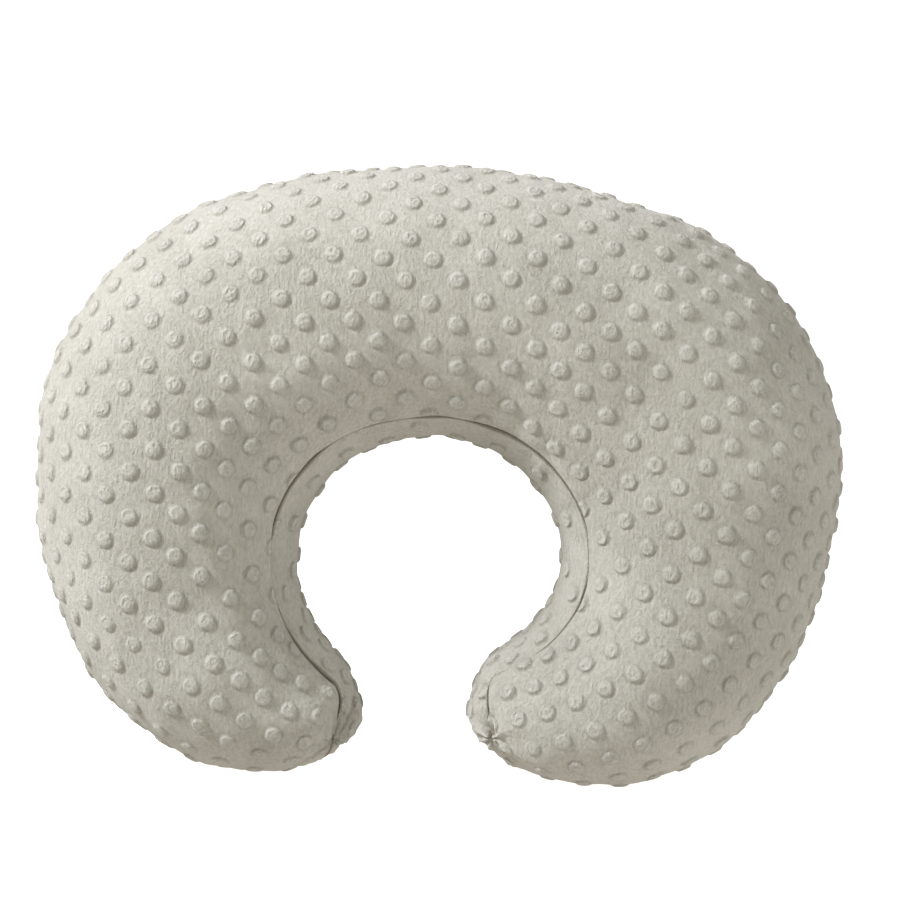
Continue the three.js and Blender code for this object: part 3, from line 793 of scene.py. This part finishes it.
def rollIn(distance, radius):
    # how far an edge drops: a quarter circle that ends at the seam
    near = np.clip(distance, 0, radius)
    return -(radius - np.sqrt(np.maximum(radius ** 2 - (radius - near) ** 2, 0)))


def tipDistance(points):
    # how far each point is from the nearer tip
    angle = np.array([[-1.0], [1.0]])
    ends = formPoints(angle, np.full((2, 1), math.pi / 2 - 1e-3), np.zeros((2, 1)), 0.0, 1.0)[:, 0]
    return np.minimum(*(np.linalg.norm(points - end, axis=-1) for end in ends))


def tipPleats(turns, fromTip, seed):
    # folds that run together at each tip
    chance = np.random.default_rng(seed + 3)
    phase = chance.uniform(0, 2 * math.pi, 2)
    wobble = 0.5 * np.sin(turns * 3 + phase[0]) + 0.35 * np.sin(turns * 7 + phase[1])
    wave = np.cos(turns * pleats["count"] + wobble * pleats["wobble"])
    ridge = 1 - 2 * np.abs(np.sin(turns * pleats["count"] / 2 + wobble)) ** 0.7
    fade = np.exp(-(fromTip / pleats["reach"]) ** 1.6) * ease(0, pleats["tipStart"], fromTip)
    return pleats["height"] * fade * (0.5 * wave + pleats["ridge"] * ridge - 0.2)


def addValues(piece, name, kind, values):
    # a named value at every point of a piece, for its material to read
    attribute = piece.data.attributes.new(name, kind, "POINT")
    attribute.data.foreach_set("vector" if values.ndim == 3 else "value", values.astype(np.float32).ravel())


def addPanel(name, node, edges, crestTurn, outward, turnShare, phase, rolls, seed):
    # each edge holds its turn, the way into the panel and whether the zipper is on it
    angle, tip = stations(cover["columns"], cover["endShrink"])
    true = stationAngle(angle, tip)
    zipped = zipperShare(true) * (tip == 0)
    opened = [zipped if outer else 0 * zipped for _, _, outer in edges]
    widening = cover["zipperHalfGap"] - cover["seamHalfGap"]
    limits = []
    for (turn, sign, _), openness in zip(edges, opened):
        halfGap = cover["seamHalfGap"] + widening * openness
        limits.append(turn + sign * turnFor(angle, tip, np.full_like(angle, turn), halfGap))
    length = (edges[1][0] - edges[0][0]) * (form["crownThickness"] + form["crownBand"]) / 4
    share = rowShares(length)
    turns = limits[0] + (limits[1] - limits[0]) * share
    base = formPoints(angle, tip, turns, cover["baseDepth"], 1.0)
    _, _, out = surfaceFrame(base)
    arc = travelled(base.transpose(1, 0, 2)).T
    crest = np.interp((crestTurn - limits[0]) / (limits[1] - limits[0]), share, np.arange(len(share)))[:, 0]
    place, across = dotCentres(base, true[:, 0], tip[:, 0] == 0, arc, crest, outward, turnShare, phase)
    radius, dotShare, dotPlace = dotField(base, place, across, seed)

    fromTip = tipDistance(base)
    tipFade, tipReach = dots["tipFade"]
    floorFade, floorReach = dots["floorFade"]
    flatter = 1 - tipFade * np.exp(-(fromTip / tipReach) ** 2)
    lift = dotHeight(radius, dotShare) * (flatter - floorFade * np.exp(-base[..., 2] / floorReach))
    distances = arc, arc[:, -1:] - arc
    for distance in distances:
        lift *= ease(*dots["seamFade"], distance)
    for number, key in enumerate(("softWrinkle", "fineWrinkle")):
        height, waveLength = cover[key]
        lift += height * waves(base, seed + number, waveLength)
    height, waveLength = cover["seamPucker"]
    more, reach = cover["tipPucker"]
    height = height * (1 + more * np.exp(-fromTip / reach))
    seamShade = np.zeros_like(arc)
    for distance, edge, (turn, _, _), openness, roll in zip(distances, (0, -1), edges, opened, rolls):
        # along each seam the cloth rolls in, and puckers along the seam's own length
        alongSeam = travelled(base[:, edge])[:, None]
        seamPlace = np.stack([alongSeam + 0 * distance, distance * cover["puckerSlant"]], -1)
        pucker = height * waves(seamPlace, seed + 7 + int(turn > 1), waveLength)
        lift += pucker * np.exp(-distance / cover["puckerReach"]) * ease(*cover["puckerStart"], distance)
        lift += rollIn(distance, roll + (cover["foldRoll"] - roll) * openness)
        # painted shade along the seam, fading out a little way from it
        seamShade = np.maximum(seamShade, 1 - ease(0, cover["seamShadeWidth"], distance))
    lift += tipPleats(turns, fromTip, seed)
    outer = base + out * lift[..., None]
    outer[..., 2] = pressed(outer[..., 2], cover["floorSoftness"])

    rows = np.linspace(0, 1, cover["innerRows"])
    innerDepth = np.where((rows == 0) | (rows == 1), cover["edgeDepth"], cover["innerDepth"])
    inner = formPoints(angle, tip, limits[0] + (limits[1] - limits[0]) * rows, innerDepth, 1.0)
    piece = shellPiece(name, node, "plush", outer, inner)
    hidden = np.broadcast_to(np.array([0.0, 0.0, farRadius]), inner.shape)
    addValues(piece, "dotPlace", "FLOAT_VECTOR", np.concatenate([dotPlace, hidden], 1))
    unshaded = np.zeros(inner.shape[:2])
    addValues(piece, "seamShade", "FLOAT", np.concatenate([seamShade, unshaded], 1))
    print(name, "made")


def addCover():
    addPanel(
        "front_panel_plush", "cover_front_panel",
        [(outerSeam, 1, True), (innerSeam, -1, False)],
        90 * degree, -1, 1, dots["frontPhase"], (cover["backRoll"], cover["frontRoll"]), 11,
    )
    addPanel(
        "back_panel_plush", "cover_back_panel",
        [(innerSeam, 1, False), (outerSeam + 2 * math.pi, -1, True)],
        270 * degree, 1, dots["backTurn"], dots["backPhase"], (cover["backRoll"], cover["backRoll"]), 23,
    )


stitching = {
    "length": 0.0030,
    "filled": 0.92,  # the share of that length that one stitch shows
    "arch": 0.0006,
    "tilt": 0.35,
    "taper": np.array([0.35, 0.9, 1, 1, 1, 0.9, 0.35]),  # of the radius, along a stitch
    "coverDepth": 0.0021,
    "coverRadius": 0.00030,
}
casing = {
    "innerSeam": 176,  # degrees round the section
    "outerSeam": -4,
    "closing": (60, 88),  # degrees about the hole, of the hand-closed gap in the outer seam
    "seamEnds": (58.5, 89.5),
    "seamHalfGap": 0.0006,
    "depth": 0.0068,
    "thickness": 0.0014,
    "wrinkle": (0.0002, 0.05),  # height, and the length of its waves
    "pucker": (0.00025, 0.012),
    "puckerReach": 0.02,
    "stitchDepth": 0.0070,
    "stitchRadius": 0.00025,
    "closingRadius": 0.0004,
    "endShrink": 0.2,
}


def stitchPaths(angle, tip, turn, depth, gathered):
    # Short arched stitches that step along a line and lean across it
    pitch, span, arch = stitching["length"], stitching["length"] * stitching["filled"], stitching["arch"]
    line = formPoints(angle, tip, np.full_like(angle, turn), depth, gathered)[:, 0]
    length = travelled(line)
    count = int(length[-1] / pitch)
    at = (np.arange(count) + 0.5) * pitch
    point = resampled(line, length, at)
    beside = formPoints(angle, tip, np.full_like(angle, turn + 0.01), depth, gathered)[:, 0]
    along = unit(np.gradient(point, axis=0))
    out = unit(np.cross(unit(resampled(beside - line, length, at)), along))
    across = np.cross(along, out)
    share = np.linspace(-1, 1, len(stitching["taper"]))
    half = (share * span / 2)[:, None]
    run = along[:, None] * half + across[:, None] * (half * stitching["tilt"])
    rise = out[:, None] * (arch * (1 - share ** 2))[:, None]
    return point[:, None] + run + rise, across[:, None]


def addStitches(name, node, angle, tip, turn, depth, radius, gathered=0.0):
    paths, lean = stitchPaths(angle, tip, turn, depth, gathered)
    makePiece(name, node, "thread", *tubes(paths, radius * stitching["taper"], 6, lean))


def addSeams():
    angle, tip = stations(700, 0.05)
    depth, radius = stitching["coverDepth"], stitching["coverRadius"]
    addStitches("inner_seam_stitches", "inner_seam_thread", angle, tip, innerSeam, depth, radius, 1.0)
    start = float(zipperAngle(zipper["closing"][1] * degree))
    true = stationAngle(angle, tip)[:, 0]
    for side, part in (("left", true < -start), ("right", true > start)):
        addStitches(
            f"outer_seam_stitches_{side}", f"outer_seam_thread_{side}",
            angle[part], tip[part], outerSeam, depth, radius, 1.0,
        )
    inner, outer = casing["innerSeam"] * degree, casing["outerSeam"] * degree
    depth, radius = casing["stitchDepth"], casing["stitchRadius"]
    angle, tip = stations(500, casing["endShrink"])
    true = stationAngle(angle, tip)[:, 0]
    first, last = (end * degree for end in casing["seamEnds"])
    addStitches("casing_inner_stitches", "casing_inner_seam_thread", angle, tip, inner, depth, radius)
    for side, part in (("left", true < first), ("right", true > last)):
        addStitches(
            f"casing_outer_stitches_{side}", f"casing_outer_seam_thread_{side}",
            angle[part], tip[part], outer, depth, radius,
        )
    angle, tip = between(*(end * degree for end in casing["closing"]), 260)
    addStitches(
        "casing_closing_stitch_row", "casing_closing_stitches", angle, tip, outer, depth,
        casing["closingRadius"],
    )
    print("seams made")


def zipperStations(end, count):
    first, last = (float(zipperAngle(sign * end * degree)) for sign in (-1, 1))
    angle, tip = between(first, last, count)
    return angle, tip, np.full_like(angle, outerSeam)


def addZipperSide(name, direction):
    # a thin woven tape, and one nylon wire wound along its edge
    angle, tip, seam = zipperStations(zipper["tapeEnd"], 240)
    reach = np.array([zipper["slot"] / 2, zipper["tapeWidth"]])
    limits = [seam + direction * turnFor(angle, tip, seam, distance) for distance in reach]
    limits.sort(key=lambda turn: turn[0, 0])
    share = np.linspace(0, 1, 13)[None]
    turns = limits[0] + (limits[1] - limits[0]) * share
    depth = zipper["tapeDepth"]
    outer = formPoints(angle, tip, turns, depth)
    inner = formPoints(angle, tip, turns[:, ::3], depth + zipper["tapeThickness"])
    shellPiece(f"zipper_tape_{name}_woven", f"zipper_tape_{name}", "zipper_tape", outer, inner)
    angle, tip, seam = zipperStations(zipper["end"], 600)
    middle = zipper["slot"] / 2 + zipper["coilRadius"]
    turn = seam + direction * turnFor(angle, tip, seam, middle)
    line = formPoints(angle, tip, turn, depth - zipper["coilLift"] - zipper["coilRadius"])[:, 0]
    near, far = (formPoints(angle, tip, turn + direction * step, depth)[:, 0] for step in (0, 0.01))
    side = unit(far - near)
    length = travelled(line)
    turnsInAll = int(length[-1] / zipper["coilPitch"])
    at = np.linspace(0, length[-1], turnsInAll * 14)
    centre, side = resampled(line, length, at), resampled(side, length, at)
    along = unit(np.gradient(centre, axis=0))
    out = unit(np.cross(along, side)) * (-direction)
    spin = at / zipper["coilPitch"] * 2 * math.pi
    radius = zipper["coilRadius"] - zipper["wire"]
    path = centre + side * (np.cos(spin) * radius)[:, None] + out * (np.sin(spin) * radius)[:, None]
    coil = tubes(path[None], zipper["wire"], 6, along[None])
    makePiece(f"zipper_coil_{name}_wire", f"zipper_coil_{name}", "zipper_coil", *coil)
    line = zipper["slot"] / 2 + zipper["stitchLine"]
    turn = outerSeam + direction * float(turnFor(angle, tip, seam, line).mean())
    addStitches(
        f"zipper_stitch_row_{name}", f"zipper_stitching_{name}", angle, tip, turn,
        zipper["stitchDepth"], zipper["stitchRadius"],
    )


def refined(name, node, body, bevel):
    # the CAD solid with its edges rounded over
    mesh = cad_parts[node].data.copy()
    mesh.name = name
    piece = linked(name, mesh)
    work = bmesh.new()
    work.from_mesh(mesh)
    bmesh.ops.remove_doubles(work, verts=work.verts, dist=1e-6)
    bmesh.ops.dissolve_limit(work, angle_limit=0.02, verts=work.verts, edges=work.edges)
    work.to_mesh(mesh)
    work.free()
    mesh.materials.clear()
    mesh.materials.append(materials["zipper_metal"])
    mesh.shade_smooth()
    rounding = piece.modifiers.new("rounding", "BEVEL")
    rounding.width = bevel
    rounding.segments = 3
    rounding.limit_method = "ANGLE"
    rounding.harden_normals = True
    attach(piece, body)
    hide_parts(node)


def addZipper():
    addZipperSide("front", 1)
    addZipperSide("back", -1)
    refined("zipper_slider_casting", "zipper_slider", "slider", 0.00035)
    refined("zipper_tab_casting", "zipper_pull_tab", "pull_tab", 0.0003)
    for stop in ("zipper_top_stop_front", "zipper_top_stop_back", "zipper_bottom_stop"):
        refined(stop + "_clip", stop, "pillow", 0.0003)
    print("zipper made")


def addCasing():
    angle, tip = stations(320, casing["endShrink"])
    inner, outer = casing["innerSeam"] * degree, casing["outerSeam"] * degree
    for name, first, last, seed in (("front", outer, inner, 41), ("back", inner, outer + 2 * math.pi, 43)):
        gap = turnFor(angle, tip, np.full_like(angle, first), casing["seamHalfGap"])
        share = np.linspace(0, 1, 97)[None]
        turns = first + gap + (last - first - 2 * gap) * share
        base = formPoints(angle, tip, turns, casing["depth"])
        _, _, out = surfaceFrame(base)
        distance = travelled(base.transpose(1, 0, 2)).T
        near = np.minimum(distance, distance[:, -1:] - distance)
        height, waveLength = casing["wrinkle"]
        lift = height * (waves(base, seed, waveLength) - 1)
        height, waveLength = casing["pucker"]
        lift -= height * (1 - ease(0, casing["puckerReach"], near)) * (1 + waves(base, seed + 1, waveLength))
        face = base + out * lift[..., None]
        back = formPoints(angle, tip, turns[:, ::4], casing["depth"] + casing["thickness"])
        shellPiece(f"casing_{name}_cloth", f"casing_{name}_panel", "casing_cloth", face, back)
    print("casing made")


filling = {
    "stations": 330,
    "sides": 140,
    "endShrink": 0.12,
    "depth": 0.0094,
    "tuft": 0.0009,
    "tuftLengths": (0.016, 0.045),
}


def addFill():
    # loose fibre: one closed body of soft tufts
    count, sides = filling["stations"], filling["sides"]
    angle, tip = stations(count, filling["endShrink"])
    turn = np.arange(sides)[None] * 2 * math.pi / sides
    base = formPoints(angle, tip, turn, filling["depth"])
    _, _, out = surfaceFrame(np.concatenate([base, base[:, :1]], 1))
    fine, broad = (waves(base, 51 + index, length) for index, length in enumerate(filling["tuftLengths"]))
    lift = filling["tuft"] * (fine * 0.5 + broad * 0.5 - 1.2)
    points = base + out[:, :-1] * lift[..., None]
    points[..., 2] = np.maximum(points[..., 2], filling["depth"] * form["floorPacking"])
    quads, i, j = gridQuads(count, sides, True)
    ring = np.arange(sides - 2)
    fan = np.stack([0 * ring, ring + 1, ring + 2], 1)
    ends = np.concatenate([fan[:, ::-1], fan + (count - 1) * sides])
    maps = gridMaps(points, i, j)
    piece = makePiece("fill_fibre_body", "fibre_fill", "fibre", points.reshape(-1, 3), quads, ends, maps)
    print("fill made")


careLabel = {
    "place": 62,  # degrees about the hole
    "width": 0.038,
    "edges": (0.028, 0.006),  # behind the outer seam
    "depth": 0.0043,
    "thickness": 0.0005,
}


def addLabel():
    place = careLabel["place"] * degree
    half = careLabel["width"] / 2 / float(outlineReach(np.array(place)))
    angle, tip = between(place - half, place + half, 60)
    seam = np.full_like(angle, outerSeam)
    low, high = (seam - turnFor(angle, tip, seam, distance) for distance in careLabel["edges"])
    turns = low + (high - low) * np.linspace(0, 1, 41)[None]
    outer = formPoints(angle, tip, turns, careLabel["depth"])
    inner = formPoints(angle, tip, turns[:, ::4], careLabel["depth"] + careLabel["thickness"])
    shellPiece("care_label_satin", "care_label", "label_cloth", outer, inner)
    print("label made")


studio = {
    "distance": 1.55,
    "elevation": 3.0,
    "roll": 2.6,
    "frameWidth": 0.6175,
    "aim": (0.0076, 0.0, 0.2221),
    "floorSize": (7.0, 6.0, 6.0),  # to each side, in front, and up the backdrop
    "bend": (2.2, 1.5),  # where the floor starts to curve up, and its radius
    "floorDrop": 0.0004,  # the floor lies this far under the part
    "floorGlow": 0.85,
    "worldLight": 0.285,
    "worldBelow": 1.35,  # how much more comes from straight below
    "worldColour": (1, 0.96, 0.89),
}
lights = {
    "key_light": {"place": (-1.43, -0.67, 1.26), "size": 0.45, "power": 44, "colour": (0.965, 0.99, 1.05)},
    "top_light": {"place": (-0.3, 0.2, 2.0), "size": 0.9, "power": 8, "colour": (0.97, 0.99, 1.03)},
    "front_fill": {"place": (-1.0, -2.0, 1.1), "size": 0.5, "power": 5.5, "colour": (1, 1, 1)},
    "side_fill": {"place": (1.6, -0.8, 0.5), "size": 1.0, "power": 11, "colour": (1, 1, 1)},
    "back_fill": {"place": (0.9, 2.0, 1.1), "size": 0.8, "power": 14, "colour": (1, 1, 1)},
}
lightTarget = Vector((0, 0, 0.2))


def addStage():
    # a pale floor that curves up into a backdrop
    turn = ease(0, 1, np.linspace(0, 1, 40)) * math.pi / 2
    side, front, top = studio["floorSize"]
    start, radius = studio["bend"]
    depth = np.concatenate([[-front], start + radius * np.sin(turn), [start + radius]])
    height = np.concatenate([[0.0], radius - radius * np.cos(turn), [top]]) - studio["floorDrop"]
    points = np.stack([np.stack([np.full_like(depth, x), depth, height], 1) for x in (-side, side)])
    quads, _, _ = gridQuads(2, len(depth), False)
    mesh = bpy.data.meshes.new("studio_floor")
    mesh.from_pydata(points.reshape(-1, 3).tolist(), [], quads.tolist())
    mesh.shade_smooth()

    def floorNodes(start, place):
        grain = place.noise(30, 2)
        return {"Base Color": grain.mixed((0.93, 0.93, 0.93), (0.96, 0.96, 0.96))}

    material = finishedMaterial("paleFloor", floorNodes, {
        "Roughness": 0.9, "Emission Color": (1, 1, 1, 1), "Emission Strength": studio["floorGlow"],
    })
    mesh.materials.append(material)
    floor = linked("studio_floor", mesh)
    floor.visible_diffuse = False
    floor.visible_glossy = False


def addLights():
    for name, values in lights.items():
        light = bpy.data.lights.new(name, "AREA")
        light.shape = "DISK"
        light.size = values["size"]
        light.energy = values["power"]
        light.color = values["colour"]
        lamp = linked(name, light)
        lamp.location = values["place"]
        lamp.rotation_euler = (lightTarget - Vector(values["place"])).to_track_quat("-Z", "Y").to_euler()


def addWorld():
    # white to look at, and dimmer as a light, with more from under the middle
    world = bpy.data.worlds.new("white_studio")
    world.use_nodes = True
    background = world.node_tree.nodes["Background"]
    start = Signal(world.node_tree)
    seen = start.node("LightPath")
    upward = start.node("TexCoord").parts(2)[0]
    below = (upward * -1).maths("MAXIMUM", 0)
    lighting = below * below * studio["worldBelow"] + studio["worldLight"]
    start.feed(background.inputs["Color"], seen.mixed(studio["worldColour"], (1, 1, 1)))
    start.feed(background.inputs["Strength"], seen * (1 - lighting) + lighting)
    bpy.context.scene.world = world


def addCamera():
    # looks along +Y and a little down, rolled about its own axis
    lens = bpy.data.cameras.new("camera")
    lens.sensor_width = 36
    lens.lens = 36 * studio["distance"] / studio["frameWidth"]
    camera = linked("camera", lens)
    rise, roll = studio["elevation"] * degree, studio["roll"] * degree
    back = Vector((0, -math.cos(rise), math.sin(rise)))
    level = Vector((1, 0, 0))
    plumb = back.cross(level)
    right = level * math.cos(roll) + plumb * math.sin(roll)
    up = back.cross(right)
    place = Vector(studio["aim"]) + back * studio["distance"]
    turn = Matrix((right, up, back)).transposed().to_4x4()
    camera.matrix_world = Matrix.Translation(place) @ turn
    bpy.context.scene.camera = camera
    bpy.context.scene.view_settings.view_transform = "Standard"


addCover()
addSeams()
addZipper()
addCasing()
addFill()
addLabel()
addStage()
addLights()
addWorld()
addCamera()
print("stage made")

bpy.context.view_layer.update()
